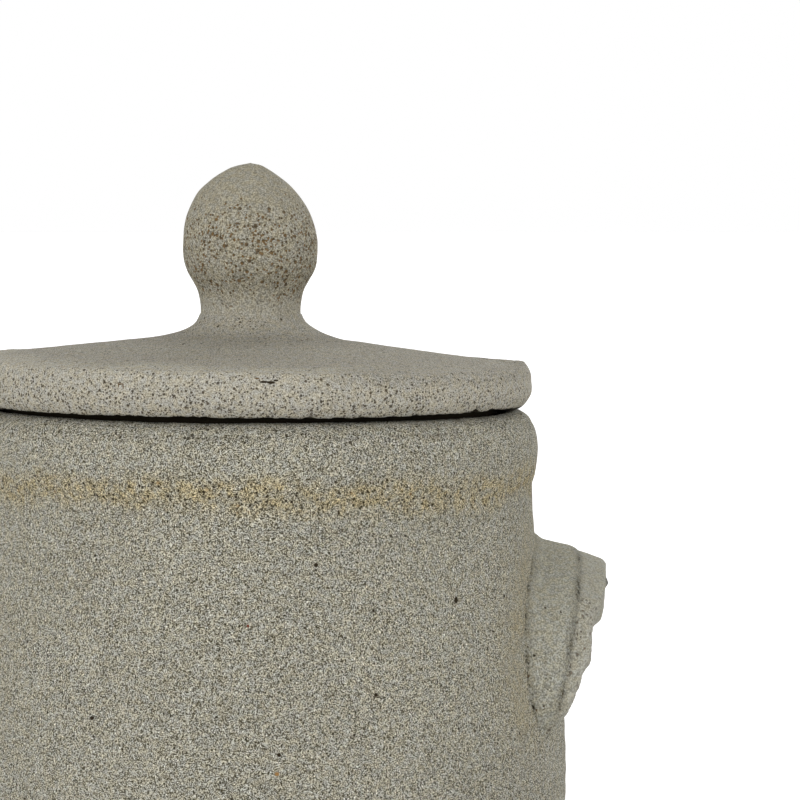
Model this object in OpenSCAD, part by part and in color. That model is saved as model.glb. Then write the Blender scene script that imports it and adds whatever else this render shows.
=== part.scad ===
// Lidded stoneware storage jar with a rolled rim, two arched lugs and an onion knob.
// Origin at the centre of the base's underside, +Z up, lugs along X, millimetres.

/* [Jar] */
// Height from the base to the crest of the rim
jar_h = 290; // [280:1:300]
// Radius at the base
base_r = 100; // [94:1:106]
// Radius of the belly at its widest line
belly_r = 126; // [124:0.5:128]
// Height of the belly's widest line
belly_z = 145; // [135:1:155]
// Radius of the straight neck under the rim
neck_r = 112.4; // [111:0.2:114]
// Thickness of the thrown wall
wall_t = 9.5; // [8:0.5:10]
// Thickness of the floor disc
floor_t = 11; // [9:0.5:13]
// Width of the wall's foot ring around the floor disc
foot_w = 5; // [4:0.5:6]

/* [Rim] */
// Height of the rolled rim band
rim_h = 29; // [26:1:32]
// How far the roll stands out from the neck
rim_swell = 2.4; // [1:0.2:4]
// Radius of the mouth inside the rim
mouth_r = 101; // [100:0.5:102]
// Outer radius of the flat crest that the lid rests on
crest_r = 106; // [105:0.5:107]

/* [Lugs] */
// Outer radius of the arch that each lug makes
lug_r = 60; // [56:1:62]
// Thickness of the coils, measured across the arch
lug_t = 13; // [11:0.5:14]
// Height of the arch's centre
lug_z = 175; // [170:1:180]
// Distance from the jar's axis to the groove between the coils, at the arch's centre
groove_x = 119; // [118:0.1:120]
// Outward lean of the coils' plane
lug_lean = 12; // [10:0.5:14]
// Width of the outer coil
outer_coil_w = 12; // [10:0.5:13]
// Outward lean of the slope that thins the outer coil downwards
taper_lean = 21.8; // [20:0.2:23]
// Distance from the jar's axis to that slope, at the arch's centre
taper_x = 121.2; // [120.4:0.1:122.4]

/* [Lid] */
// Radius of the lid
lid_r = 112.4; // [111:0.2:114]
// Thickness of the lid at its edge
lid_edge_t = 18.5; // [16:0.5:21]
// Height of the boss under the knob, above the rim's crest
boss_h = 36; // [34:1:38]
// Radius of the boss under the knob
boss_r = 21; // [20.6:0.1:22]
// Gap around the locating ring inside the mouth
ring_gap = 2.5; // [1.5:0.5:4]
// Width of the locating ring
ring_w = 8; // [6:0.5:10]
// Depth of the locating ring below the rim's crest
ring_depth = 13; // [10:1:18]

/* [Knob] */
// Height of the knob above its boss
knob_h = 61.6; // [56:0.2:66]
// Largest radius of the knob
knob_r = 27; // [25:0.5:29]
// Radius of the knob's neck
knob_neck_r = 20; // [18:0.5:20.5]
// Radius of the tenon that seats the knob in the lid
tenon_r = 10; // [8:0.5:12]
// Length of the tenon
tenon_l = 9; // [7:0.5:10]

/* [Hidden] */
$fn = 96;

foot_round = 4;
floor_r = base_r - foot_w;
rim_z = jar_h - rim_h;
// Straight stretch of the neck under the rim
neck_run = 3;
neck_z = rim_z - neck_run;
neck_in = neck_r - wall_t;

// Tongue on the wall's top that keys the rim roll
tongue_w = wall_t * 0.35;
tongue_in = neck_in + tongue_w;
tongue_out = tongue_in + tongue_w;
tongue_h = 4;

// Reach of the inner coil into the wall before the wall is cut from it
inner_coil_w = 24;
// Half of the angle that each coil's arch takes up
inner_half_sweep = 108;
outer_half_sweep = 100;
// How far each face of a coil closes in towards its outer end
coil_draft = 1;
// Rounded edges of the coils: at the inner one's end, in the groove, and on the outer one
coil_round = 4;
groove_round = 3;
crown_round = 5;
under_round = 4;

ring_out = mouth_r - ring_gap;
ring_in = ring_out - ring_w;
ring_seat = 3;
lid_top_z = jar_h + lid_edge_t;
// Top of the boss, and the dome under the lid, which leaves clay under the tenon
boss_z = jar_h + boss_h;
tenon_floor = 11;
dome_z = boss_z - tenon_l - tenon_floor;

jar_clay = [0.58, 0.565, 0.51];
rim_clay = [0.60, 0.58, 0.52];
lug_clay = [0.57, 0.56, 0.52];
lid_clay = [0.64, 0.62, 0.565];
knob_clay = [0.56, 0.53, 0.46];

// Points after p on the cubic curve from p to s that is pulled towards q and r
function curve(p, q, r, s, n = 12) =
    [for (i = [1 : n]) let (t = i / n, w = 1 - t)
        p * w * w * w + 3 * q * t * w * w + 3 * r * t * t * w + s * t * t * t];

// Points of an arc, between two angles in degrees
function arc(centre, radius, from, to, n = 4) =
    [for (i = [0 : n]) let (a = from + (to - from) * i / n)
        centre + radius * [cos(a), sin(a)]];

// Outside of the wall, from the top of its foot to the rim
foot_pull = [base_r + (belly_r - base_r) * 0.65, belly_z * 0.35];
belly_pull = [belly_r, belly_z * 0.67];
shoulder_pull = [belly_r, belly_z + 50];
neck_pull = [neck_r, neck_z - 35];
side_curve = concat(
    curve([base_r, foot_round], foot_pull, belly_pull, [belly_r, belly_z]),
    curve([belly_r, belly_z], shoulder_pull, neck_pull, [neck_r, neck_z]));

outside = concat(
    arc([base_r - foot_round, foot_round], foot_round, -90, 0),
    side_curve,
    [[neck_r, rim_z]]);

// Inside of the wall, from the rim down to the floor
inside = concat(
    [[neck_in, rim_z]],
    [for (i = [len(side_curve) - 1 : -1 : 1]) side_curve[i] - [wall_t, 0]],
    [[side_curve[0][0] - wall_t, floor_t]]);

module turned(points) {
    rotate_extrude() polygon(points);
}

// Solid of the jar's outer shape, for cutting the lugs to fit the wall
module wall_core() {
    turned(concat([[0, 0]], outside, [[0, rim_z]]));
}

module jar_wall() {
    color(jar_clay) turned(concat(
        [[floor_r, 0]],
        outside,
        [[tongue_out, rim_z], [tongue_out, rim_z + tongue_h],
         [tongue_in, rim_z + tongue_h], [tongue_in, rim_z]],
        inside,
        [[floor_r, floor_t]]));
}

module jar_floor() {
    color(jar_clay) cylinder(r = floor_r, h = floor_t);
}

module rim_roll() {
    // A curve reaches three quarters of the way to its pulls
    swell_r = neck_r + rim_swell * 4 / 3;
    swell_pull = 4;
    shoulder_z = jar_h - 5;
    crest_pull = 3;
    edge = 1.5;
    color(rim_clay) turned(concat(
        [[mouth_r, rim_z + edge], [mouth_r + edge, rim_z], [tongue_in, rim_z],
         [tongue_in, rim_z + tongue_h], [tongue_out, rim_z + tongue_h],
         [tongue_out, rim_z], [neck_r, rim_z]],
        curve([neck_r, rim_z], [swell_r, rim_z + swell_pull],
              [swell_r, shoulder_z - swell_pull], [neck_r, shoulder_z]),
        curve([neck_r, shoulder_z], [neck_r - 1, jar_h - 2.4],
              [crest_r + crest_pull, jar_h], [crest_r, jar_h], 6),
        arc([mouth_r + edge, jar_h - edge], edge, 90, 180)));
}

// Places a coil in the leaning plane of a lug; the left lug mirrors the right
module at_lug(side) {
    mirror([1 - side, 0, 0]) translate([groove_x, 0, lug_z]) rotate([0, lug_lean, 0])
        children();
}

// Arch about the X axis with its crown up, from points of radius and reach
module arch(section, half_sweep) {
    rotate([0, 90, 0]) rotate([0, 0, 180 - half_sweep])
        rotate_extrude(angle = 2 * half_sweep) polygon(section);
}

module lug_inner_coil(side) {
    low = lug_r - lug_t;
    high = lug_r + coil_draft;
    end_low = low + coil_draft;
    end_high = lug_r - coil_draft;
    color(lug_clay) difference() {
        at_lug(side) arch(concat(
            [[low, -inner_coil_w], [high, -inner_coil_w]],
            arc([end_high - coil_round, -coil_round], coil_round, 0, 90),
            arc([end_low + coil_round, -coil_round], coil_round, 90, 180)),
            inner_half_sweep);
        wall_core();
    }
}

module lug_outer_coil(side) {
    low = lug_r - lug_t + coil_draft;
    high = lug_r - coil_draft;
    end_low = low + coil_draft;
    end_high = high - coil_draft;
    wide = outer_coil_w;
    cut_w = 50;
    cut_reach = 200;
    color(lug_clay) difference() {
        at_lug(side) arch(concat(
            arc([high - groove_round, groove_round], groove_round, -90, 0),
            arc([end_high - crown_round, wide - crown_round], crown_round, 0, 90),
            arc([end_low + under_round, wide - under_round], under_round, 90, 180),
            arc([low + groove_round, groove_round], groove_round, 180, 270)),
            outer_half_sweep);
        mirror([1 - side, 0, 0]) translate([taper_x, 0, lug_z]) rotate([0, taper_lean, 0])
            translate([0, -cut_reach / 2, -cut_reach / 2]) cube([cut_w, cut_reach, cut_reach]);
    }
}

module right_lug_inner_coil() { lug_inner_coil(1); }
module right_lug_outer_coil() { lug_outer_coil(1); }
module left_lug_inner_coil() { lug_inner_coil(0); }
module left_lug_outer_coil() { lug_outer_coil(0); }

module lid_plate() {
    // Underside: a dome inside the ring, then a flat on the crest and a slope to the lip
    dome_pull = [40, dome_z];
    ring_pull = [75, jar_h + 12];
    lip = [lid_r - 2.4, jar_h + 3.2];
    lip_end = [lid_r, jar_h + 7];
    top_round = 3;
    // Top: a concave flare from the edge up to the boss
    flare_start = [lid_r - top_round, lid_top_z];
    flare_pull = [60, lid_top_z + 7];
    boss_pull = [26, boss_z - 8];
    color(lid_clay) turned(concat(
        [[0, dome_z]],
        curve([0, dome_z], dome_pull, ring_pull, [ring_in, jar_h]),
        [[ring_in, jar_h + ring_seat], [ring_out, jar_h + ring_seat], [ring_out, jar_h],
         [crest_r, jar_h], lip],
        curve(lip, lip + [1.6, 1], lip_end - [0, 1.5], lip_end, 6),
        arc([lid_r - top_round, lid_top_z - top_round], top_round, 0, 90),
        curve(flare_start, flare_pull, boss_pull, [boss_r, boss_z]),
        [[tenon_r, boss_z], [tenon_r, boss_z - tenon_l], [0, boss_z - tenon_l]]));
}

module locating_ring() {
    edge = 2;
    low_z = jar_h - ring_depth;
    color(lid_clay) turned(concat(
        arc([ring_in + edge, low_z + edge], edge, 180, 270),
        arc([ring_out - edge, low_z + edge], edge, -90, 0),
        [[ring_out, jar_h + ring_seat], [ring_in, jar_h + ring_seat]]));
}

module lid_knob() {
    foot = [boss_r - 0.4, boss_z];
    neck = [knob_neck_r, boss_z + 4];
    belly = [knob_r, boss_z + knob_h * 0.487];
    tip = [0, boss_z + knob_h];
    color(knob_clay) turned(concat(
        [[0, boss_z - tenon_l], [tenon_r, boss_z - tenon_l], [tenon_r, boss_z], foot, neck],
        curve(neck, neck + [0, 10], belly - [0, 13], belly),
        curve(belly, belly + [0, 17], tip + [13, -2.6], tip)));
}

jar_wall();
jar_floor();
rim_roll();
right_lug_inner_coil();
right_lug_outer_coil();
left_lug_inner_coil();
left_lug_outer_coil();
lid_plate();
locating_ring();
lid_knob();
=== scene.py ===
import itertools
import math

import bpy
import numpy as np
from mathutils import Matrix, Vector


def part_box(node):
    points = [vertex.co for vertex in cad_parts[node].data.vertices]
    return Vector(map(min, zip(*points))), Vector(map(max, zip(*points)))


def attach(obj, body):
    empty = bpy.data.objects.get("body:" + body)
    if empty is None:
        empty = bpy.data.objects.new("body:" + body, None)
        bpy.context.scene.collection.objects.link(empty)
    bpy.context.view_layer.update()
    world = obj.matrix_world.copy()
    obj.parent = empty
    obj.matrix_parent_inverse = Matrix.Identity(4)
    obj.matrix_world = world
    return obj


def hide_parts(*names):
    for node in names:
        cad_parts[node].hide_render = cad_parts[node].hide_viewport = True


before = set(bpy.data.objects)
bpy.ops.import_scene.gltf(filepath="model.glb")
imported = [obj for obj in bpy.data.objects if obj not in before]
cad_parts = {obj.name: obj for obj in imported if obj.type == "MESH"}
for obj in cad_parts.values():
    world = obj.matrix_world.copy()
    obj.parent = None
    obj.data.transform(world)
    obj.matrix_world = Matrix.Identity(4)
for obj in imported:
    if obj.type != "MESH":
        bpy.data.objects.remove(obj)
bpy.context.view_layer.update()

MM = 0.001

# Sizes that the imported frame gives
FLOOR_R, FLOOR_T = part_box("jar_floor")[1].y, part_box("jar_floor")[1].z
BELLY_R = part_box("jar_wall")[1].y
RIM_BOTTOM, RIM_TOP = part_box("rim_roll")[0].z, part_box("rim_roll")[1].z
RIM_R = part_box("rim_roll")[1].y
LID_R, BOSS_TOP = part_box("lid_plate")[1].y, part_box("lid_plate")[1].z
RING_OUT, RING_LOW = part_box("locating_ring")[1].y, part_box("locating_ring")[0].z
KNOB_R, KNOB_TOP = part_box("lid_knob")[1].y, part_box("lid_knob")[1].z

# Sizes of the jar's shapes, in metres
BASE_R = FLOOR_R + 5 * MM
FOOT_ROUND = 4 * MM
BELLY_Z = 145 * MM
NECK_R = RIM_R - 2.4 * MM
NECK_Z = RIM_BOTTOM - 3 * MM
WALL_T = 9.5 * MM
MOUTH_R = 101 * MM
RING_W = 8 * MM

# The lugs' leaning coils
LUG_R = 60 * MM
LUG_T = 13 * MM
LUG_Z = 175 * MM
GROOVE_X = 119 * MM
LUG_LEAN = math.radians(12)
OUTER_COIL_W = 12 * MM

# The photograph's camera: 0.4 mm to a pixel at the jar's axis
CAMERA_DISTANCE = 1.5
CAMERA_HEIGHT = 0.378
PHOTO_SIZE = 800
FOCAL_PIXELS = 3750
AXIS_PIXEL = 251
HORIZON_PIXEL = 188


# Camera

def make_camera():
    data = bpy.data.cameras.new("photo_camera")
    data.sensor_width = 36
    data.lens = FOCAL_PIXELS / PHOTO_SIZE * data.sensor_width
    made = bpy.data.objects.new("photo_camera", data)
    middle = PHOTO_SIZE / 2
    yaw = math.atan((middle - AXIS_PIXEL) / FOCAL_PIXELS)
    pitch = math.atan((middle - HORIZON_PIXEL) / FOCAL_PIXELS)
    made.location = (0, -CAMERA_DISTANCE, CAMERA_HEIGHT)
    made.rotation_euler = (math.pi / 2 - pitch, 0, -yaw)
    bpy.context.scene.collection.objects.link(made)
    bpy.context.scene.camera = made
    return made


camera = make_camera()


def seen_at(pixel, in_solid):
    """Point on the front of a solid that the photograph shows at a pixel."""
    middle = PHOTO_SIZE / 2
    aim = Vector(((pixel[0] - middle) / FOCAL_PIXELS, (middle - pixel[1]) / FOCAL_PIXELS, -1))
    aim = camera.rotation_euler.to_matrix() @ aim
    near, far = CAMERA_DISTANCE - 0.2, CAMERA_DISTANCE
    for _ in range(40):
        half = (near + far) / 2
        point = camera.location + aim * half
        near, far = (near, half) if in_solid(point) else (half, far)
    return point


# Shapes

def curve(p, q, r, s, count=24):
    """Points on the cubic curve from p to s that is pulled towards q and r."""
    t = np.linspace(0, 1, count)[:, None]
    p, q, r, s = (np.array(point, float) for point in (p, q, r, s))
    return p * (1 - t) ** 3 + 3 * q * t * (1 - t) ** 2 + 3 * r * t ** 2 * (1 - t) + s * t ** 3


def smooth_through(points, per_span=10):
    """A smooth open line through a few points."""
    points = np.array(points, float)
    padded = np.vstack([2 * points[0] - points[1], points, 2 * points[-1] - points[-2]])
    spans = []
    for index in range(len(points) - 1):
        before, start, end, after = padded[index:index + 4]
        first_pull = start + (end - before) / 6
        second_pull = end - (after - start) / 6
        spans.append(curve(start, first_pull, second_pull, end, per_span)[:-1])
    spans.append(points[-1:])
    return np.vstack(spans)


def spaced(points, step):
    """The same line with its points about one step apart."""
    points = np.array(points, float)
    lengths = np.hypot(*np.diff(points, axis=0).T)
    keep = np.concatenate([[True], lengths > 1e-7])
    points = points[keep]
    along = np.concatenate([[0], np.cumsum(np.hypot(*np.diff(points, axis=0).T))])
    count = max(2, int(round(along[-1] / step)) + 1)
    target = np.linspace(0, along[-1], count)
    return np.column_stack([np.interp(target, along, points[:, axis]) for axis in (0, 1)])


def noise(points, size, seed):
    """Smooth noise between -1 and 1, with features of about one size."""
    grid = np.asarray(points, float) / size + seed * 17.31
    cell = np.floor(grid).astype(np.int64)
    part = grid - cell
    part = part ** 3 * (part * (part * 6 - 15) + 10)
    total = np.zeros(grid.shape[:-1])
    for corner in itertools.product((0, 1), repeat=3):
        key = (cell + corner) @ np.array([73856093, 19349663, 83492791])
        key = (key ^ (key >> 13)) * 1274126177
        value = ((key >> 16) & 0xFFFF) / 32767.5 - 1
        weight = np.prod(np.where(np.array(corner) == 1, part, 1 - part), axis=-1)
        total += value * weight
    return total


def smoothstep(value, low, high):
    part = np.clip((value - low) / (high - low), 0, 1)
    return part * part * (3 - 2 * part)


MARKS = ("grime", "pale", "smooth", "stain", "specks")


def new_piece(name, points, faces, body, node, material, **marks):
    """A smooth mesh that rides on a body, stands for a CAD node and carries its marks."""
    mesh = bpy.data.meshes.new(name)
    mesh.from_pydata(points.reshape(-1, 3).tolist(), [], faces)
    mesh.polygons.foreach_set("use_smooth", [True] * len(mesh.polygons))
    for mark in MARKS:
        layer = mesh.attributes.new(mark, "FLOAT", "POINT")
        values = marks.get(mark, np.zeros(len(mesh.vertices)))
        layer.data.foreach_set("value", np.asarray(values, np.float32).ravel())
    mesh.materials.append(material)
    piece = bpy.data.objects.new(name, mesh)
    bpy.context.scene.collection.objects.link(piece)
    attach(piece, body)
    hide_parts(node)
    return piece


def weather(points, faces, layers):
    """Moves points along their normals by layers of (size, depth, seed) noise."""
    flat = points.reshape(-1, 3)
    mesh = bpy.data.meshes.new("scratch")
    mesh.from_pydata(flat.tolist(), [], faces)
    normals = np.zeros(len(flat) * 3)
    mesh.vertex_normals.foreach_get("vector", normals)
    bpy.data.meshes.remove(mesh)
    shift = sum(depth * noise(flat, size, seed) for size, depth, seed in layers)
    return flat + normals.reshape(-1, 3) * shift[:, None]


def ring_faces(rows, columns, wrap_rows):
    """Quads of a grid whose columns close round, and whose rows may."""
    faces = []
    for row in range(rows if wrap_rows else rows - 1):
        after = (row + 1) % rows
        for column in range(columns):
            beside = (column + 1) % columns
            faces.append((row * columns + column, row * columns + beside,
                          after * columns + beside, after * columns + column))
    return faces


def turned(outline, columns):
    """Grid of points, and quads, of an outline turned round the jar's axis.

    The outline runs with the solid on its left. A closed one meets itself, an open one
    starts and ends on the axis, where its quads close to a fan.
    """
    closed = outline[0][0] > 1e-6
    angle = np.arange(columns) * 2 * math.pi / columns
    radius, height = outline[:, 0:1], outline[:, 1:2]
    points = np.stack([radius * np.cos(angle), radius * np.sin(angle),
                       np.broadcast_to(height, (len(outline), columns))], axis=-1)
    if closed:
        return points, ring_faces(len(outline), columns, True)
    return points, ring_faces(len(outline), columns, False)


def weld_poles(faces, rows, columns):
    """Closes the first and the last row of an open turned grid to one point each."""
    first, last = 0, (rows - 1) * columns
    welded = []
    for face in faces:
        corners = [first if corner < columns else last if corner >= last else corner
                   for corner in face]
        distinct = [corner for index, corner in enumerate(corners)
                    if corner != corners[index - 1]]
        welded.append(tuple(distinct))
    return welded


def drop_loose(points, faces, *marks):
    """Leaves out the points that no face uses."""
    used = np.unique(np.concatenate([np.array(face) for face in faces]))
    place = {int(old): new for new, old in enumerate(used)}
    faces = [tuple(place[corner] for corner in face) for face in faces]
    return [points.reshape(-1, 3)[used], faces] + [mark.ravel()[used] for mark in marks]


# Materials


def feed(tree, socket, value):
    if isinstance(value, bpy.types.NodeSocket):
        tree.links.new(value, socket)
    else:
        socket.default_value = value


def maths(tree, operation, *values):
    made = tree.nodes.new("ShaderNodeMath")
    made.operation = operation
    for socket, value in zip(made.inputs, values):
        feed(tree, socket, value)
    return made.outputs[0]


def spread(tree, value, low, high, to_low=0.0, to_high=1.0):
    """Value carried smoothly from the range low to high into another range."""
    made = tree.nodes.new("ShaderNodeMapRange")
    made.interpolation_type = "SMOOTHSTEP"
    for socket, number in zip(made.inputs, (value, low, high, to_low, to_high)):
        feed(tree, socket, number)
    return made.outputs[0]


def blended(tree, amount, first, second, how="MIX"):
    made = tree.nodes.new("ShaderNodeMix")
    made.data_type = "RGBA"
    made.blend_type = how
    feed(tree, made.inputs[0], amount)
    feed(tree, made.inputs[6], first)
    feed(tree, made.inputs[7], second)
    return made.outputs[2]


def moved(tree, where, seed):
    made = tree.nodes.new("ShaderNodeVectorMath")
    made.operation = "ADD"
    feed(tree, made.inputs[0], where)
    made.inputs[1].default_value = (seed * 0.731, seed * 0.417, seed * 0.193)
    return made.outputs[0]


def cloud(tree, where, size, seed, detail=2.0, roughness=0.5):
    made = tree.nodes.new("ShaderNodeTexNoise")
    feed(tree, made.inputs["Vector"], moved(tree, where, seed))
    made.inputs["Scale"].default_value = 1 / size
    made.inputs["Detail"].default_value = detail
    made.inputs["Roughness"].default_value = roughness
    return made.outputs["Fac"]


def cells(tree, where, size, seed):
    """Distance to the nearest of scattered points, in cells, and a random number per cell."""
    made = tree.nodes.new("ShaderNodeTexVoronoi")
    feed(tree, made.inputs["Vector"], moved(tree, where, seed))
    made.inputs["Scale"].default_value = 1 / size
    parts = tree.nodes.new("ShaderNodeSeparateColor")
    tree.links.new(made.outputs["Color"], parts.inputs[0])
    return made.outputs["Distance"], parts.outputs[0]


def spots(tree, where, size, radius, share, seed, edge=0.45):
    """Round spots of one radius in a share of the cells."""
    distance, chance = cells(tree, where, size, seed)
    shape = spread(tree, distance, radius / size, radius / size * edge)
    chosen = maths(tree, "LESS_THAN", chance, share)
    return maths(tree, "MULTIPLY", shape, chosen)


def mark(tree, name):
    made = tree.nodes.new("ShaderNodeAttribute")
    made.attribute_name = name
    return made.outputs["Fac"]


def shade(colour, factor):
    return tuple(channel * factor for channel in colour[:3]) + (1.0,)


DARK_PIT = (0.030, 0.022, 0.012, 1.0)
ORANGE = (0.34, 0.19, 0.07, 1.0)
RED = (0.16, 0.03, 0.015, 1.0)
# What these multiply the clay's colour by: its dark and light grains, and a stain
DARK_GRAIN = (0.17, 0.155, 0.105, 1.0)
LIGHT_GRAIN = (1.76, 1.78, 1.88, 1.0)
OCHRE_TINT = (1.13, 1.01, 0.77, 1.0)
RUST = (0.125, 0.069, 0.024, 1.0)
DARK_RUST = (0.055, 0.034, 0.014, 1.0)
LIGHT_RUST = (0.180, 0.100, 0.032, 1.0)
PALE_CLAY = (0.47, 0.455, 0.405, 1.0)
# Near-black for the grime mark: painted shade in the slot, creases and grooves, and some dirt
SHADE_AND_GRIME_COLOUR = (0.020, 0.016, 0.009, 1.0)


def product(tree, *values):
    result = values[0]
    for value in values[1:]:
        result = maths(tree, "MULTIPLY", result, value)
    return result


def blot(tree, where, centre, size):
    """A single round or long mark: 1 inside an ellipsoid of about these half sizes."""
    made = tree.nodes.new("ShaderNodeMapping")
    made.inputs["Scale"].default_value = [1 / half for half in size]
    made.inputs["Location"].default_value = [-place / half for place, half in zip(centre, size)]
    feed(tree, made.inputs["Vector"], where)
    length = tree.nodes.new("ShaderNodeVectorMath")
    length.operation = "LENGTH"
    tree.links.new(made.outputs[0], length.inputs[0])
    return spread(tree, length.outputs["Value"], 1.15, 0.7)


def clay(name, base, grain=1.0, smooth_grain=0.5, coarse=1.0, handled=1.0, ochre=False, rust=0.0,
         speck=(1.0, 0.6), pits=0.3, blots=()):
    """Gritty unglazed clay: grains, dimples, pits, specks, stains, grime and painted shade, all by position.

    The grain is a contrast, where the clay is rough and as a part of that where it is smooth.
    A speck has a size, as a part of 0.55 mm, and a share of the places that it can take.
    """
    material = bpy.data.materials.new(name)
    material.use_nodes = True
    tree = material.node_tree
    shader = tree.nodes["Principled BSDF"]
    place = tree.nodes.new("ShaderNodeTexCoord").outputs["Object"]
    base = tuple(base) + (1.0,)
    warm = (base[0] * 1.035, base[1] * 1.0, base[2] * 0.92, 1.0)
    cool = (base[0] * 0.97, base[1] * 0.99, base[2] * 1.035, 1.0)

    # Faint patches of warmer and cooler clay
    patch = spread(tree, cloud(tree, place, 2.5 * MM, 1, 3.0, 0.6), 0.35, 0.65)
    colour = blended(tree, patch, warm, cool)
    broad = spread(tree, cloud(tree, place, 60 * MM, 2), 0.3, 0.7, 0.97, 1.03)
    colour = blended(tree, 1.0, colour, broad, "MULTIPLY")

    # Sand grains and the dimples between them, weaker where a hand has smoothed the clay
    smooth = mark(tree, "smooth")
    rough = spread(tree, smooth, 0.0, 1.0, grain, grain * smooth_grain)
    fine = spread(tree, cloud(tree, place, 0.42 * MM * coarse, 3, 0.0), 0.28, 0.72)
    tone = blended(tree, fine, DARK_GRAIN, LIGHT_GRAIN)
    colour = blended(tree, rough, colour, tone, "MULTIPLY")
    distance, chance = cells(tree, place, 1.2 * MM * coarse, 5)
    dimple = product(tree, spread(tree, distance, 0.42, 0.22), spread(tree, chance, 0.15, 0.8), rough, 0.85)
    colour = blended(tree, dimple, colour, DARK_GRAIN, "MULTIPLY")
    sand = product(tree, spots(tree, place, 0.8 * MM * coarse, 0.3 * MM * coarse, 0.35, 6), rough)
    colour = blended(tree, sand, colour, LIGHT_GRAIN, "MULTIPLY")
    worn = spread(tree, smooth, 0.0, 1.0, 1.0, handled)
    colour = blended(tree, 1.0, colour, worn, "MULTIPLY")

    pit = spots(tree, place, 6.5 * MM, 0.75 * MM, pits, 7)
    stain = mark(tree, "stain")
    if ochre:
        height = tree.nodes.new("ShaderNodeSeparateXYZ")
        tree.links.new(place, height.inputs[0])
        wander = spread(tree, cloud(tree, place, 28 * MM, 8), 0.3, 0.7, -2.5 * MM, 2.5 * MM)
        level = maths(tree, "ADD", height.outputs[2], wander)
        squares = [maths(tree, "POWER", height.outputs[axis], 2.0) for axis in (0, 1)]
        outside = maths(tree, "GREATER_THAN", maths(tree, "ADD", *squares), (NECK_R - WALL_T / 2) ** 2)
        above = spread(tree, level, 0.2735, 0.2650)
        below = spread(tree, level, 0.2530, 0.2615)
        patchy = spread(tree, cloud(tree, place, 4 * MM, 9, 3.0), 0.38, 0.62, 0.25, 1.0)
        band = product(tree, above, below, outside)
        pocks = maths(tree, "MULTIPLY", band, spots(tree, place, 1.9 * MM, 0.6 * MM, 0.6, 10, 0.75))
        pit = maths(tree, "MAXIMUM", pit, pocks)
        stain = maths(tree, "MAXIMUM", stain, maths(tree, "MULTIPLY", band, patchy))
    tinted = blended(tree, 1.0, colour, OCHRE_TINT, "MULTIPLY")
    colour = blended(tree, stain, colour, tinted)
    fleck = maths(tree, "MULTIPLY", stain, spots(tree, place, 3.6 * MM, 0.85 * MM, 0.4, 13))
    colour = blended(tree, maths(tree, "MULTIPLY", fleck, 0.5), colour, ORANGE)

    # Specks thrown out of the clay by the firing
    dense = mark(tree, "specks")
    size, share = speck[0] * MM, maths(tree, "MULTIPLY", dense, speck[1])
    small = spots(tree, place, 1.5 * size, 0.55 * size, share, 11, 0.75)
    large = spots(tree, place, 2.8 * size, 0.9 * size, maths(tree, "MULTIPLY", share, 0.6), 12, 0.65)
    specks = maths(tree, "MAXIMUM", small, large)
    varied = spread(tree, cloud(tree, place, 1.8 * MM, 16), 0.38, 0.62)
    speck_colour = blended(tree, rust, DARK_PIT, blended(tree, varied, DARK_RUST, LIGHT_RUST))
    colour = blended(tree, maths(tree, "MULTIPLY", specks, 0.85), colour, speck_colour)
    colour = blended(tree, maths(tree, "MULTIPLY", pit, 0.93), colour, DARK_PIT)

    for pixel_place, size, blot_colour in blots:
        colour = blended(tree, blot(tree, place, pixel_place, size), colour, blot_colour)

    # Broken or rubbed clay; then grime, and painted shade in creases, grooves and the slot under the lid
    lump = cloud(tree, place, 2.6 * MM, 4, 2.0, 0.6)
    chalk = spread(tree, lump, 0.35, 0.65, 0.85, 1.1)
    fresh = blended(tree, 1.0, PALE_CLAY, chalk, "MULTIPLY")
    holes = spots(tree, place, 2.0 * MM, 0.6 * MM, 0.6, 14)
    fresh = blended(tree, maths(tree, "MULTIPLY", holes, 0.8), fresh, shade(base, 0.25))
    colour = blended(tree, maths(tree, "MULTIPLY", mark(tree, "pale"), 0.85), colour, fresh)
    shade_and_dirt = mark(tree, "grime")
    dotted = spread(tree, maths(tree, "ADD", shade_and_dirt, cloud(tree, place, 1.3 * MM, 15)), 0.8, 1.3)
    shade_and_dirt = maths(tree, "MAXIMUM", dotted, maths(tree, "MULTIPLY", shade_and_dirt, 0.75))
    colour = blended(tree, shade_and_dirt, colour, SHADE_AND_GRIME_COLOUR)

    height = product(tree, fine, rough, 0.35)
    height = maths(tree, "ADD", height, product(tree, lump, 0.35))
    height = maths(tree, "SUBTRACT", height, product(tree, dimple, 0.4))
    height = maths(tree, "SUBTRACT", height, product(tree, maths(tree, "MAXIMUM", pit, specks), 0.6))
    bump = tree.nodes.new("ShaderNodeBump")
    bump.inputs["Strength"].default_value = 0.6
    bump.inputs["Distance"].default_value = 1 * MM
    tree.links.new(height, bump.inputs["Height"])

    tree.links.new(colour, shader.inputs["Base Color"])
    tree.links.new(bump.outputs[0], shader.inputs["Normal"])
    shader.inputs["Roughness"].default_value = 0.92
    shader.inputs["Specular IOR Level"].default_value = 0.12
    return material


# Pieces

DENTS = [(95 * MM, 0.5 * MM, 1), (30 * MM, 0.22 * MM, 2), (9 * MM, 0.12 * MM, 3),
         (4 * MM, 0.08 * MM, 4)]

side = np.vstack([
    curve((BASE_R, FOOT_ROUND), (BASE_R + (BELLY_R - BASE_R) * 0.65, BELLY_Z * 0.35),
          (BELLY_R, BELLY_Z * 0.67), (BELLY_R, BELLY_Z), 40),
    curve((BELLY_R, BELLY_Z), (BELLY_R, BELLY_Z + 50 * MM),
          (NECK_R, NECK_Z - 35 * MM), (NECK_R, NECK_Z), 40)[1:],
    [(NECK_R, RIM_BOTTOM + 2 * MM)]])


def wall_radius(height):
    return np.interp(height, side[:, 1], side[:, 0])


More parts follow.
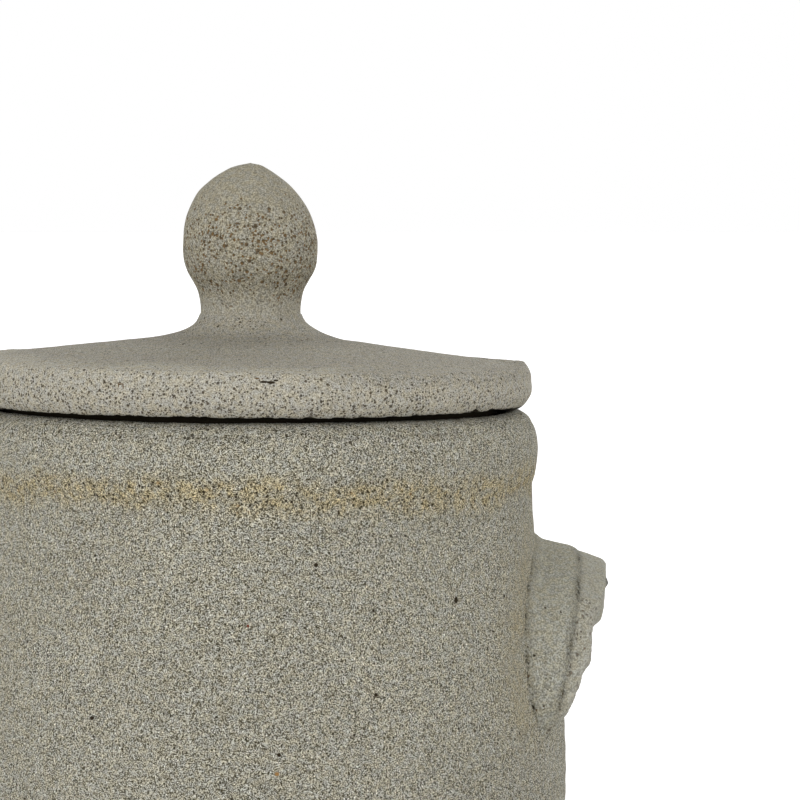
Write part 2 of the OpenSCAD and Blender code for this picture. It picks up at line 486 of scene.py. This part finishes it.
# Radius and height over the rim of the lid's outside, in millimetres, from its edge to its neck
LID_EDGE = [(104, 0.2), (106, 0.4), (108, 1.2), (109.7, 2.6), (112, 6.2), (112.4, 9.6), (112.2, 12.8),
            (112, 16), (110.8, 18.3), (108.8, 18.9), (106.5, 19)]
LID_FLARE = [(106.5, 19), (95, 20.8), (80, 22.7), (65, 24.6), (50, 26.6), (38, 28.3), (30, 30.4),
             (25.5, 32.4), (22.2, 34.8), (20.6, 38)]


def in_wall(point):
    return math.hypot(point.x, point.y) < wall_radius(point.z)


def in_lid(point):
    radius = math.hypot(point.x, point.y)
    top = np.interp(-radius / MM, [-r for r, _ in LID_FLARE], [rise for _, rise in LID_FLARE])
    return radius < LID_R and point.z < RIM_TOP + top * MM


# The crest of the rim, with the lid that rests on it, is higher towards the left
CREST_LIFT = 0.4 * MM
CREST_TILT = 0.006


def crest_rise(points):
    return CREST_LIFT - CREST_TILT * points[..., 0]


# Single marks at the photograph's pixels: half widths across and up in millimetres, and colour
WALL_MARKS = [((456, 600), 0.8, 1.4, DARK_PIT), ((92, 718), 0.9, 0.8, DARK_PIT),
              ((279, 755), 0.8, 0.8, DARK_PIT), ((376, 695), 0.8, 0.8, DARK_PIT),
              ((316, 565), 0.8, 0.9, DARK_PIT), ((277, 774), 0.9, 0.8, ORANGE),
              ((248, 626), 0.5, 0.6, RED)]
LID_MARKS = [((264, 382), 1.8, 0.45, DARK_PIT), ((271, 382.5), 1.6, 0.6, DARK_PIT),
             ((276, 380.5), 1.0, 0.4, DARK_PIT), ((257, 378.5), 1.0, 0.25, RUST),
             ((231, 373.5), 1.1, 0.5, DARK_PIT), ((121, 384), 1.0, 0.22, RUST), ((118.5, 385), 0.2, 0.9, RUST),
             ((123, 387), 0.22, 1.0, RUST)]
DEEP = 4 * MM


def placed(marks, in_solid):
    return [(seen_at(pixel, in_solid), (across * MM, DEEP, up * MM), colour)
            for pixel, across, up, colour in marks]


JAR_CLAY = clay("jar_clay", (0.354, 0.340, 0.272), ochre=True, blots=placed(WALL_MARKS, in_wall))
LUG_CLAY = clay("lug_clay", (0.346, 0.338, 0.277), grain=0.45, coarse=1.5, handled=0.97, rust=0.5)
LID_CLAY = clay("lid_clay", (0.424, 0.402, 0.333), grain=0.45, smooth_grain=1.2, handled=0.8, rust=0.15, speck=(0.72, 0.8), blots=placed(LID_MARKS, in_lid))
KNOB_CLAY = clay("knob_clay", (0.338, 0.316, 0.247), grain=0.52, coarse=1.4, handled=0.94, rust=1.0,
                 speck=(1.05, 1.4), pits=0.0)


def lug_place(points):
    """Reach, arch radius and arch angle of points, in the leaning plane of the lug on their side."""
    out = np.abs(points[..., 0]) - GROOVE_X
    rise = points[..., 2] - LUG_Z
    reach = out * math.cos(LUG_LEAN) - rise * math.sin(LUG_LEAN)
    up = out * math.sin(LUG_LEAN) + rise * math.cos(LUG_LEAN)
    return reach, np.hypot(up, points[..., 1]), np.arctan2(points[..., 1], up)


def make_wall():
    foot = curve((FLOOR_R, 0), (BASE_R - FOOT_ROUND, 0), (BASE_R, 0), (BASE_R, FOOT_ROUND), 12)
    inner = side[side[:, 1] > FLOOR_T + 1 * MM][::-1] - (WALL_T, 0)
    outline = np.vstack([
        spaced(np.vstack([foot, side]), 2.2 * MM),
        spaced(np.vstack([[(NECK_R - WALL_T, RIM_BOTTOM + 2 * MM)], inner[1:],
                          [(inner[-1][0], FLOOR_T)]]), 4 * MM),
        [(FLOOR_R, FLOOR_T), (FLOOR_R, FLOOR_T / 2)]])
    points, faces = turned(outline, 380)
    radius = np.hypot(points[..., 0], points[..., 1])
    angle = np.arctan2(points[..., 1], points[..., 0])
    inside = radius < wall_radius(points[..., 2]) - WALL_T / 2
    rings = np.where(inside, 0.5, 0.1) * MM * np.sin(points[..., 2] / (9 * MM) * 2 * math.pi + angle)
    rings *= smoothstep(points[..., 2], 12 * MM, 30 * MM) * smoothstep(points[..., 2], 258 * MM, 245 * MM)
    points[..., :2] *= (1 + rings / radius)[..., None]
    points = weather(points, faces, DENTS)
    points[:, 2] = np.maximum(points[:, 2], 0)
    _, arch, angle = lug_place(points)
    by_lug = np.exp(-((arch - LUG_R - 7 * MM) / (9 * MM)) ** 2) * (np.abs(points[:, 0]) > 80 * MM)
    by_lug *= smoothstep(np.abs(angle), math.radians(118), math.radians(88))
    stain = by_lug * (0.28 + 0.25 * noise(points, 9 * MM, 41))
    # The wall next to the lugs: a stain, weaker grain, and a little painted shade from the lugs
    return new_piece("wall_skin", points, faces, "jar", "jar_wall", JAR_CLAY, stain=stain,
                     smooth=by_lug * 0.6, grime=by_lug * 0.08)


def make_floor():
    outline = np.vstack([
        [(0, 0)], spaced([(0.001, 0), (FLOOR_R - 1.5 * MM, 0)], 6 * MM),
        spaced([(FLOOR_R - 0.5 * MM, 0.4 * MM), (FLOOR_R - 0.2 * MM, FLOOR_T)], 3 * MM),
        spaced([(FLOOR_R - 4 * MM, FLOOR_T + 0.5 * MM), (0.001, FLOOR_T)], 4 * MM), [(0, FLOOR_T)]])
    points, faces = turned(outline, 180)
    faces = weld_poles(faces, len(outline), 180)
    radius = np.hypot(points[..., 0], points[..., 1])
    top = points[..., 2] > FLOOR_T / 2
    points[..., 2] += np.where(top, 0.35 * MM * np.sin(radius / (11 * MM) * 2 * math.pi), 0)
    points = weather(points, faces, DENTS)
    points[:, 2] = np.maximum(points[:, 2], 0)
    points, faces = drop_loose(points, faces)
    return new_piece("floor_skin", points, faces, "jar", "jar_floor", JAR_CLAY)


def make_rim():
    crest = smooth_through([
        (NECK_R - 0.8 * MM, RIM_BOTTOM - 3 * MM), (NECK_R + 0.1 * MM, RIM_BOTTOM),
        (NECK_R + 1.3 * MM, RIM_BOTTOM + 4 * MM),
        (RIM_R, RIM_BOTTOM + 12 * MM), (RIM_R - 0.8 * MM, RIM_BOTTOM + 19.4 * MM),
        (RIM_R - 2.4 * MM, RIM_BOTTOM + 24.2 * MM), (RIM_R - 4.2 * MM, RIM_BOTTOM + 26.6 * MM),
        (108 * MM, RIM_TOP - 0.8 * MM), (105.5 * MM, RIM_TOP), (103.5 * MM, RIM_TOP - 0.1 * MM),
        (MOUTH_R + 0.3 * MM, RIM_TOP - 1.5 * MM), (MOUTH_R, RIM_TOP - 4 * MM)])
    inner = np.array([(MOUTH_R, RIM_BOTTOM + 2 * MM), (MOUTH_R + 1.5 * MM, RIM_BOTTOM - 1 * MM)])
    outline = np.vstack([spaced(np.vstack([crest, inner]), 1.2 * MM)])
    points, faces = turned(outline, 480)
    # A shallow line that a throwing tool left under the crest, with painted shade and dark specks, and the
    # crest's chips
    outside = np.hypot(points[..., 0], points[..., 1]) > 105 * MM
    line = outside * np.exp(-((points[..., 2] - RIM_TOP + 5 * MM) / (1.4 * MM)) ** 2)
    points[..., :2] *= (1 - 0.35 * MM * line / RIM_R)[..., None]
    chips = 0.4 * MM * np.abs(noise(points, 3.5 * MM, 24)) + 0.3 * MM * np.abs(noise(points, 1.8 * MM, 25))
    crest = smoothstep(points[..., 2], RIM_TOP - 4 * MM, RIM_TOP - 2 * MM)
    lifted = smoothstep(points[..., 2], RIM_TOP - 12 * MM, RIM_TOP - 4 * MM)
    points[..., 2] += crest_rise(points) * lifted - outside * chips * crest
    points = weather(points, faces, DENTS)
    shade_and_dirt = np.clip(0.3 + 0.5 * noise(points, 14 * MM, 26), 0, 1)
    return new_piece("rim_skin", points, faces, "jar", "rim_roll", JAR_CLAY,
                     grime=line.ravel() * shade_and_dirt * 0.5, specks=np.maximum(line, crest * outside).ravel() * shade_and_dirt)


make_wall()
make_floor()
make_rim()


def lug_point(side_sign, reach, radius, angle):
    """Point of a lug at a reach from the groove's plane, and its arch's radius and angle."""
    up = radius * np.cos(angle)
    x = GROOVE_X + reach * math.cos(LUG_LEAN) + up * math.sin(LUG_LEAN)
    z = LUG_Z + up * math.cos(LUG_LEAN) - reach * math.sin(LUG_LEAN)
    y = radius * np.sin(angle)
    return np.stack([side_sign * x, y + 0 * x, z], axis=-1)


def reach_of_wall(angle):
    """Reach at which the arch's middle line meets the wall, for each angle."""
    reaches = np.linspace(-26 * MM, 4 * MM, 240)[:, None]
    line = lug_point(1, reaches, LUG_R - LUG_T * 0.3, angle[None, :])
    outside = np.hypot(line[..., 0], line[..., 1]) > wall_radius(line[..., 2])
    return reaches[np.argmax(outside, axis=0), 0]


# The outer coil's worn and broken edge: distance from the jar's axis in millimetres, by arch angle
BROKEN_ANGLE = [0, 14, 20, 30, 36, 39, 41, 43, 45, 49, 54, 59, 64, 66.5, 69, 74, 77, 84, 89, 93, 106]
BROKEN_X = [142.6, 141.2, 140.4, 139.6, 138.6, 137.9, 137, 135.8, 134.5, 133.4, 132.8, 132.6, 132.3, 131.6,
            130.4, 128.1, 127.5, 125, 123, 121.6, 117]
BROKEN_FROM = math.radians(40)
# A dark nub of clay on that edge
NUB_ANGLE = math.radians(-24)
NUB_WIDTH = math.radians(1.1)


def broken_edge(angle):
    return np.interp(np.degrees(np.abs(angle)), BROKEN_ANGLE, BROKEN_X) * MM


def coil_section(start, end, thick, corners, steps=7, between=13):
    """Rows of (reach, rise) round coils' sections, with elliptical corners in millimetres.

    The corners run from the outer face's far end, by its start, to the inner face's far end.
    """
    centres = [(end - corners[0][0] * MM, -corners[0][1] * MM),
               (start + corners[1][0] * MM, -corners[1][1] * MM),
               (start + corners[2][0] * MM, corners[2][1] * MM - thick),
               (end - corners[3][0] * MM, corners[3][1] * MM - thick)]
    rounds = []
    for index, ((reach, rise), (wide, deep)) in enumerate(zip(centres, corners)):
        turn = np.linspace(index, index + 1, steps) * math.pi / 2
        rounds.append(np.stack([np.atleast_1d(reach)[:, None] + wide * MM * np.cos(turn),
                                np.atleast_1d(rise)[:, None] + deep * MM * np.sin(turn)
                                + 0 * np.atleast_1d(reach)[:, None]], axis=-1))
    parts = []
    for index, part in enumerate(rounds):
        after = rounds[(index + 1) % 4][:, :1]
        share = np.linspace(0, 1, between + 2)[1:-1][None, :, None]
        parts += [part, part[:, -1:] * (1 - share) + after * share]
    section = np.concatenate(parts, axis=1)
    return section[..., 0], section[..., 1]


def coil(side_sign, inner, rows=280):
    """Grid of a lug's coil: a rounded section swept along the leaning arch, sunk in the wall at its ends."""
    sweep = math.radians(112 if inner else 110)
    angle = np.linspace(-sweep, sweep, rows)
    wall = reach_of_wall(angle)
    middle_up = (LUG_R - LUG_T / 2) * np.cos(angle)
    fade = smoothstep(np.abs(angle), sweep, math.radians(80))
    tip = smoothstep(np.abs(angle), math.radians(86), sweep)
    sunk = tip * np.maximum(2 * MM - wall, 0)
    thick = LUG_T * (0.25 + 0.75 * fade)
    if inner:
        start = wall - 4 * MM - 3 * MM * np.cos(angle).clip(0)
        end = np.maximum(0.5 * MM, wall + 1.6 * MM) - sunk
        corners = [(4.8, 2.2), (1, 1), (1, 1), (3, 3)]
    else:
        start = -3 * MM - sunk
        end = (broken_edge(angle) - GROOVE_X - middle_up * math.sin(LUG_LEAN)) / math.cos(LUG_LEAN)
        end = np.clip(end + 1.2 * MM, 0.5 * MM, OUTER_COIL_W + 0.8 * MM) - sunk
        corners = [(3, 3.2), (1, 1), (1, 1), (3, 3)]
    reach, rise = coil_section(start, end, thick, corners)
    inset = (LUG_T - thick)[:, None] / 2
    drop = 0 if inner else 1.4 * MM + np.clip(reach, 0, None) * 0.13
    radius = LUG_R + rise - inset - drop
    points = lug_point(side_sign, reach, radius, angle[:, None])

    # The coil next to the wall runs into it in a hollow fillet
    away = np.hypot(points[..., 0], points[..., 1]) - wall_radius(points[..., 2])
    fillet = np.clip(1 - away / (4.5 * MM), 0, 1) ** 2 * (rise > -LUG_T / 4) * inner
    radius = radius + 1.9 * MM * fillet * fade[:, None]
    points = lug_point(side_sign, reach, radius, angle[:, None])
    columns = reach.shape[1]
    faces = []
    for row in range(rows - 1):
        for column in range(columns):
            beside = (column + 1) % columns
            a, b = row * columns + column, row * columns + beside
            c, d = b + columns, a + columns
            faces.append((a, b, c, d) if side_sign < 0 else (d, c, b, a))
    first = tuple(range(columns))
    last = tuple(range((rows - 1) * columns, rows * columns))
    faces.append(first[::-1] if side_sign < 0 else first)
    faces.append(last if side_sign < 0 else last[::-1])
    return points, faces


def make_lug(side_sign, word):
    seed = 50 if side_sign > 0 else 60
    points, faces = coil(side_sign, True)
    points = weather(points, faces, DENTS[1:])
    away = np.hypot(points[:, 0], points[:, 1]) - wall_radius(points[:, 2])
    reach, _, angle = lug_place(points)
    at_side = smoothstep(np.abs(angle), math.radians(15), math.radians(45))
    patchy = 1 + 0.35 * noise(points, 5 * MM, seed)
    above_tip = smoothstep(points[:, 2], 163 * MM, 178 * MM)
    # Painted shade along the crease where the coil meets the wall, and in the groove, with dots of dirt
    crease = np.exp(-(away / (1.8 * MM)) ** 2) * (0.25 + 0.25 * at_side) * above_tip
    in_groove = np.exp(-((reach + 0.3 * MM) / (2 * MM)) ** 2) * above_tip
    smooth = smoothstep(points[:, 2], 185 * MM, 222 * MM)
    new_piece(f"{word}_inner_coil_skin", points, faces, "jar", f"{word}_lug_inner_coil", LUG_CLAY,
              grime=np.maximum(crease, 0.45 * in_groove) * patchy, smooth=smooth * 0.5,
              specks=0.12 * (1 - smooth), stain=crease * 0.4)

    points, faces = coil(side_sign, False)
    _, arch, angle = lug_place(points)
    low = smoothstep(np.abs(angle), BROKEN_FROM, BROKEN_FROM + math.radians(4))
    chips = 0.4 * MM * noise(points, 4 * MM, seed + 1) + 0.4 * MM * noise(points, 1.9 * MM, seed + 2)
    nub = np.exp(-((angle - NUB_ANGLE) / NUB_WIDTH) ** 2) * smoothstep(arch, LUG_R - 8 * MM, LUG_R - 5 * MM)
    nub *= side_sign > 0
    limit = broken_edge(angle) + chips * (0.25 + 0.75 * low) + 1.2 * MM * nub
    over = side_sign * points[..., 0] - limit
    points[..., 0] = np.where(over > 0, side_sign * limit, points[..., 0])
    broken = (smoothstep(over, -2.5 * MM, -0.4 * MM) * low).ravel()
    dark_nub = (smoothstep(over, -1.2 * MM, -0.2 * MM) * nub).ravel()
    torn = low * (0.45 * MM * noise(points, 2.8 * MM, seed + 3) + 0.3 * MM * noise(points, 1.4 * MM, seed + 4))
    points[..., 1] += torn * np.sin(angle)
    points[..., 2] += torn * np.cos(angle)
    smooth = (1 - low).ravel() * 0.6
    points = weather(points, faces, DENTS[1:])
    reach, _, _ = lug_place(points)
    above_tip = smoothstep(points[:, 2], 163 * MM, 178 * MM)
    # Painted shade in the groove between the coils, with dots of dirt
    in_groove = np.exp(-((reach + 0.3 * MM) / (1.5 * MM)) ** 2) * above_tip
    patchy = 1 + 0.35 * noise(points, 5 * MM, seed)
    new_piece(f"{word}_outer_coil_skin", points, faces, "jar", f"{word}_lug_outer_coil", LUG_CLAY,
              pale=0.2 + 0.3 * broken, grime=np.maximum(0.45 * in_groove * patchy, dark_nub), smooth=smooth,
              specks=0.5 * low.ravel(), stain=0.12 * low.ravel())


make_lug(1, "right")
make_lug(-1, "left")


# How far the lid's warp lifts its top surface over 100 mm towards the left
TOP_WARP = 2.1 * MM
# The open slot between the lid's lower edge and the rim's crest, closed where the lid rests
SLOT = 2.3 * MM
RESTS = (0.0, math.pi, math.pi / 2)
# A nick in that edge, left of the right lug as the photograph shows it
NICK_ANGLE = math.radians(-38.5)
NICK_WIDTH = math.radians(0.7)


def slot_open(angle):
    """1 where the lid stands clear of the rim, 0 where it rests on it."""
    shut = np.zeros_like(angle)
    for rest in RESTS:
        away = np.abs((angle - rest + math.pi) % (2 * math.pi) - math.pi)
        shut = np.maximum(shut, 1 - smoothstep(away, math.radians(11), math.radians(24)))
    return 1 - shut


def make_lid():
    ring_in = RING_OUT - RING_W
    dome = BOSS_TOP - 20 * MM
    under = curve((0, dome), (40 * MM, dome), (75 * MM, RIM_TOP + 12 * MM), (ring_in, RIM_TOP + 1 * MM))
    edge = smooth_through([(r * MM, RIM_TOP + rise * MM) for r, rise in LID_EDGE])
    flare = smooth_through([(r * MM, RIM_TOP + rise * MM) for r, rise in LID_FLARE])
    cap = np.array([(16 * MM, BOSS_TOP + 4 * MM), (0, BOSS_TOP + 4 * MM)])
    outline = np.vstack([
        spaced(np.vstack([under, [(99.5 * MM, RIM_TOP + 1 * MM)]]), 3.5 * MM),
        spaced([(99.5 * MM, RIM_TOP + 1 * MM), (103 * MM, RIM_TOP + 0.3 * MM)], 1.2 * MM)[1:],
        spaced(edge, 1.0 * MM), spaced(flare, 1.8 * MM)[1:], cap])
    outline[0][0] = 0
    columns = 640
    points, faces = turned(outline, columns)
    faces = weld_poles(faces, len(outline), columns)
    radius = np.hypot(points[..., 0], points[..., 1])
    angle = np.arctan2(points[..., 1], points[..., 0])
    rise = points[..., 2] - RIM_TOP

    # The slot, with a ragged lip above it
    flat = points * (1, 1, 0)
    ragged = 0.5 * MM * noise(flat, 5 * MM, 21) + 0.4 * MM * noise(flat, 2.2 * MM, 22)
    nick = 1.6 * MM * np.exp(-((angle - NICK_ANGLE) / NICK_WIDTH) ** 2)
    lift = (SLOT + ragged + nick) * slot_open(angle) * smoothstep(radius, 97.5 * MM, 99.5 * MM)
    lower = (rise < 6 * MM) & (radius > 97 * MM)
    raised = np.where(lower, np.maximum(0, lift - rise) * smoothstep(rise, 5 * MM, 3 * MM), 0)
    points[..., 2] += raised

    # The warp, and the low lip round the top's outer edge
    top = smoothstep(rise, 5 * MM, 15 * MM) * smoothstep(radius, 15 * MM, 40 * MM)
    low = (1 - smoothstep(rise, 5 * MM, 15 * MM)) * smoothstep(radius, 88 * MM, 97 * MM)
    points[..., 2] += crest_rise(points) * low - points[..., 0] / (100 * MM) * TOP_WARP * top
    lip = np.exp(-((radius - 109.2 * MM) / (1.4 * MM)) ** 2) * smoothstep(rise, 12 * MM, 16 * MM)
    at_corner = np.clip(np.cos(angle), 0, 1) ** 12
    points[..., 2] += lip * (0.6 * MM + 1.3 * MM * at_corner + 0.3 * MM * noise(points, 22 * MM, 23))

    trowelled = radius + 5 * MM * noise(points, 25 * MM, 27)
    smooth = smoothstep(trowelled, 107 * MM, 86 * MM) * (rise > 12 * MM)
    at_right = smoothstep(points[..., 0], 15 * MM, 50 * MM) * 0.75
    smooth = np.maximum(smooth, at_right * smoothstep(rise, 12 * MM, 17 * MM))
    smooth *= 0.3 + 0.7 * smoothstep(radius, 24 * MM, 36 * MM)
    specks = (1 - smooth) * 0.8 * smoothstep(rise, 24 * MM, 8 * MM) + 0.15
    # Painted shade: the underside by the slot is near-black as the slot's shadow; the top is also darker
    # towards the knob
    by_knob = smoothstep(radius, 60 * MM, 25 * MM) * (rise > 20 * MM)
    slot_shade_and_knob_dark = np.maximum(smoothstep(rise, 2.6 * MM, 1.6 * MM), 0.22 * by_knob)
    points = weather(points, faces, DENTS)
    points, faces, slot_shade_and_knob_dark, smooth, specks = drop_loose(points, faces, slot_shade_and_knob_dark, smooth, specks)
    return new_piece("lid_skin", points, faces, "lid", "lid_plate", LID_CLAY,
                     grime=slot_shade_and_knob_dark, smooth=smooth, specks=specks)


def make_ring():
    ring_in = RING_OUT - RING_W
    outline = spaced(smooth_through([
        (ring_in, RIM_TOP + 3 * MM), (ring_in, RING_LOW + 3 * MM), (ring_in + 2 * MM, RING_LOW),
        (RING_OUT - 2 * MM, RING_LOW), (RING_OUT, RING_LOW + 3 * MM), (RING_OUT, RIM_TOP + 3 * MM)]), 1.5 * MM)
    points, faces = turned(outline, 300)
    points = weather(points, faces, DENTS)
    # Painted shade: the ring's outer face under the lid's edge is near-black as the slot's shadow
    root = smoothstep(points[:, 2], RIM_TOP - 3 * MM, RIM_TOP - 1 * MM)
    outer = np.hypot(points[:, 0], points[:, 1]) > RING_OUT - RING_W / 2
    return new_piece("locating_ring_skin", points, faces, "lid", "locating_ring", LID_CLAY,
                     grime=root * outer)


# Radius and height over the boss of the knob's outside, in millimetres
KNOB_SIDE = [(22.5, -2), (20.3, 1), (20, 4), (20.4, 7.5), (21.4, 11.5), (23.4, 15.2), (25.3, 18.6),
             (26.6, 23), (27, 29), (26.6, 34.4), (24.9, 40.8), (21.7, 47.2), (16.5, 53.6), (7.2, 60), (0, 61.8)]
# The knob's centre line: how far it stands to the right, at heights over the boss in millimetres
KNOB_LEAN_Z = [0, 31, 37, 44, 50, 56, 60, 62]
KNOB_LEAN_X = [0, -0.1, -0.6, -0.9, -1.5, -1.5, -1.1, 0]


def make_knob():
    root = curve((0, -6), (8, -6), (10, -6), KNOB_SIDE[0], 8)
    outline = np.vstack([root[:-1], smooth_through(KNOB_SIDE)]) * MM + (0, BOSS_TOP)
    outline = spaced(outline, 1.2 * MM)
    outline[0][0] = 0
    outline[-1][0] = 0
    columns = 160
    points, faces = turned(outline, columns)
    faces = weld_poles(faces, len(outline), columns)
    angle = np.arctan2(points[..., 1], points[..., 0])
    rise = points[..., 2] - BOSS_TOP

    # The upper half is set over to the left
    points[..., 0] += np.interp(rise, np.array(KNOB_LEAN_Z) * MM, np.array(KNOB_LEAN_X) * MM)

    smooth = np.maximum(smoothstep(rise, 32 * MM, 52 * MM) * 0.6, smoothstep(rise, 3 * MM, -1 * MM))
    middle = smoothstep(rise, 4 * MM, 14 * MM) * smoothstep(rise, 52 * MM, 28 * MM)
    specks = middle * (0.8 + 0.2 * np.cos(angle)) * (0.95 + 0.9 * noise(points, 9 * MM, 31))
    points = weather(points, faces, DENTS[1:])
    pale = 0.25 * smoothstep(rise, 12 * MM, 5 * MM) * smoothstep(rise, -4 * MM, 0)
    points, faces, smooth, specks, pale = drop_loose(points, faces, smooth, specks, pale)
    return new_piece("knob_skin", points, faces, "lid", "lid_knob", KNOB_CLAY,
                     smooth=smooth, specks=specks, pale=pale)


make_lid()
make_ring()
make_knob()


# Stage, light and camera

def white_to_the_lens(tree):
    """1 for the rays that should meet a white studio: the camera's, and those off gloss or glass."""
    path = tree.nodes.new("ShaderNodeLightPath")
    seen = maths(tree, "MAXIMUM", path.outputs["Is Camera Ray"], path.outputs["Is Glossy Ray"])
    return maths(tree, "MAXIMUM", seen, path.outputs["Is Transmission Ray"])


def make_stage():
    mesh = bpy.data.meshes.new("studio_floor")
    reach = 30
    mesh.from_pydata([(-reach, -reach, 0), (reach, -reach, 0), (reach, reach, 0), (-reach, reach, 0)],
                     [], [(0, 1, 2, 3)])
    floor = bpy.data.objects.new("studio_floor", mesh)
    bpy.context.scene.collection.objects.link(floor)
    material = bpy.data.materials.new("pale_floor")
    material.use_nodes = True
    tree = material.node_tree
    tree.nodes.clear()
    diffuse = tree.nodes.new("ShaderNodeBsdfDiffuse")
    diffuse.inputs[0].default_value = (0.8, 0.8, 0.8, 1)
    glow = tree.nodes.new("ShaderNodeEmission")
    tree.links.new(maths(tree, "MULTIPLY", white_to_the_lens(tree), FLOOR_GLOW), glow.inputs["Strength"])
    both = tree.nodes.new("ShaderNodeAddShader")
    tree.links.new(diffuse.outputs[0], both.inputs[0])
    tree.links.new(glow.outputs[0], both.inputs[1])
    output = tree.nodes.new("ShaderNodeOutputMaterial")
    tree.links.new(both.outputs[0], output.inputs[0])
    mesh.materials.append(material)


def make_world():
    """Soft light from all round, dimmer overhead, and white where the lens sees it."""
    world = bpy.data.worlds.new("studio")
    bpy.context.scene.world = world
    world.use_nodes = True
    tree = world.node_tree
    tree.nodes.clear()
    direction = tree.nodes.new("ShaderNodeSeparateXYZ")
    tree.links.new(tree.nodes.new("ShaderNodeTexCoord").outputs["Generated"], direction.inputs[0])
    ambient = tree.nodes.new("ShaderNodeBackground")
    height = tree.nodes.new("ShaderNodeMapRange")
    for socket, value in zip(height.inputs, (direction.outputs[2], 0.0, 1.0, HORIZON_LIGHT, ZENITH_LIGHT)):
        feed(tree, socket, value)
    tree.links.new(height.outputs[0], ambient.inputs[1])
    white = tree.nodes.new("ShaderNodeBackground")
    white.inputs[0].default_value = (1, 1, 1, 1)
    ambient.inputs[0].default_value = (1, 1, 1, 1)
    either = tree.nodes.new("ShaderNodeMixShader")
    tree.links.new(white_to_the_lens(tree), either.inputs[0])
    tree.links.new(ambient.outputs[0], either.inputs[1])
    tree.links.new(white.outputs[0], either.inputs[2])
    output = tree.nodes.new("ShaderNodeOutputWorld")
    tree.links.new(either.outputs[0], output.inputs[0])


def make_lamp(name, side, height, level, softness):
    """A broad distant lamp, by its angles to the right of the camera and above the floor."""
    data = bpy.data.lights.new(name, "SUN")
    data.energy = level * math.pi
    data.angle = math.radians(softness)
    side, height = math.radians(side), math.radians(height)
    towards = Vector((math.sin(side) * math.cos(height), -math.cos(side) * math.cos(height), math.sin(height)))
    lamp = bpy.data.objects.new(name, data)
    lamp.location = towards * 3
    lamp.rotation_mode = "QUATERNION"
    lamp.rotation_quaternion = (-towards).to_track_quat("-Z", "Y")
    bpy.context.scene.collection.objects.link(lamp)


# Light levels, where 1 shows a colour as it is written
HORIZON_LIGHT = 0.77
ZENITH_LIGHT = 0.43
FLOOR_GLOW = 0.56

make_stage()
make_world()
make_lamp("key", -35, 16, 0.41, 50)
make_lamp("fill", 55, 16, 0.20, 50)
make_lamp("rim", 160, 25, 0.27, 50)

bpy.context.scene.view_settings.view_transform = "Standard"
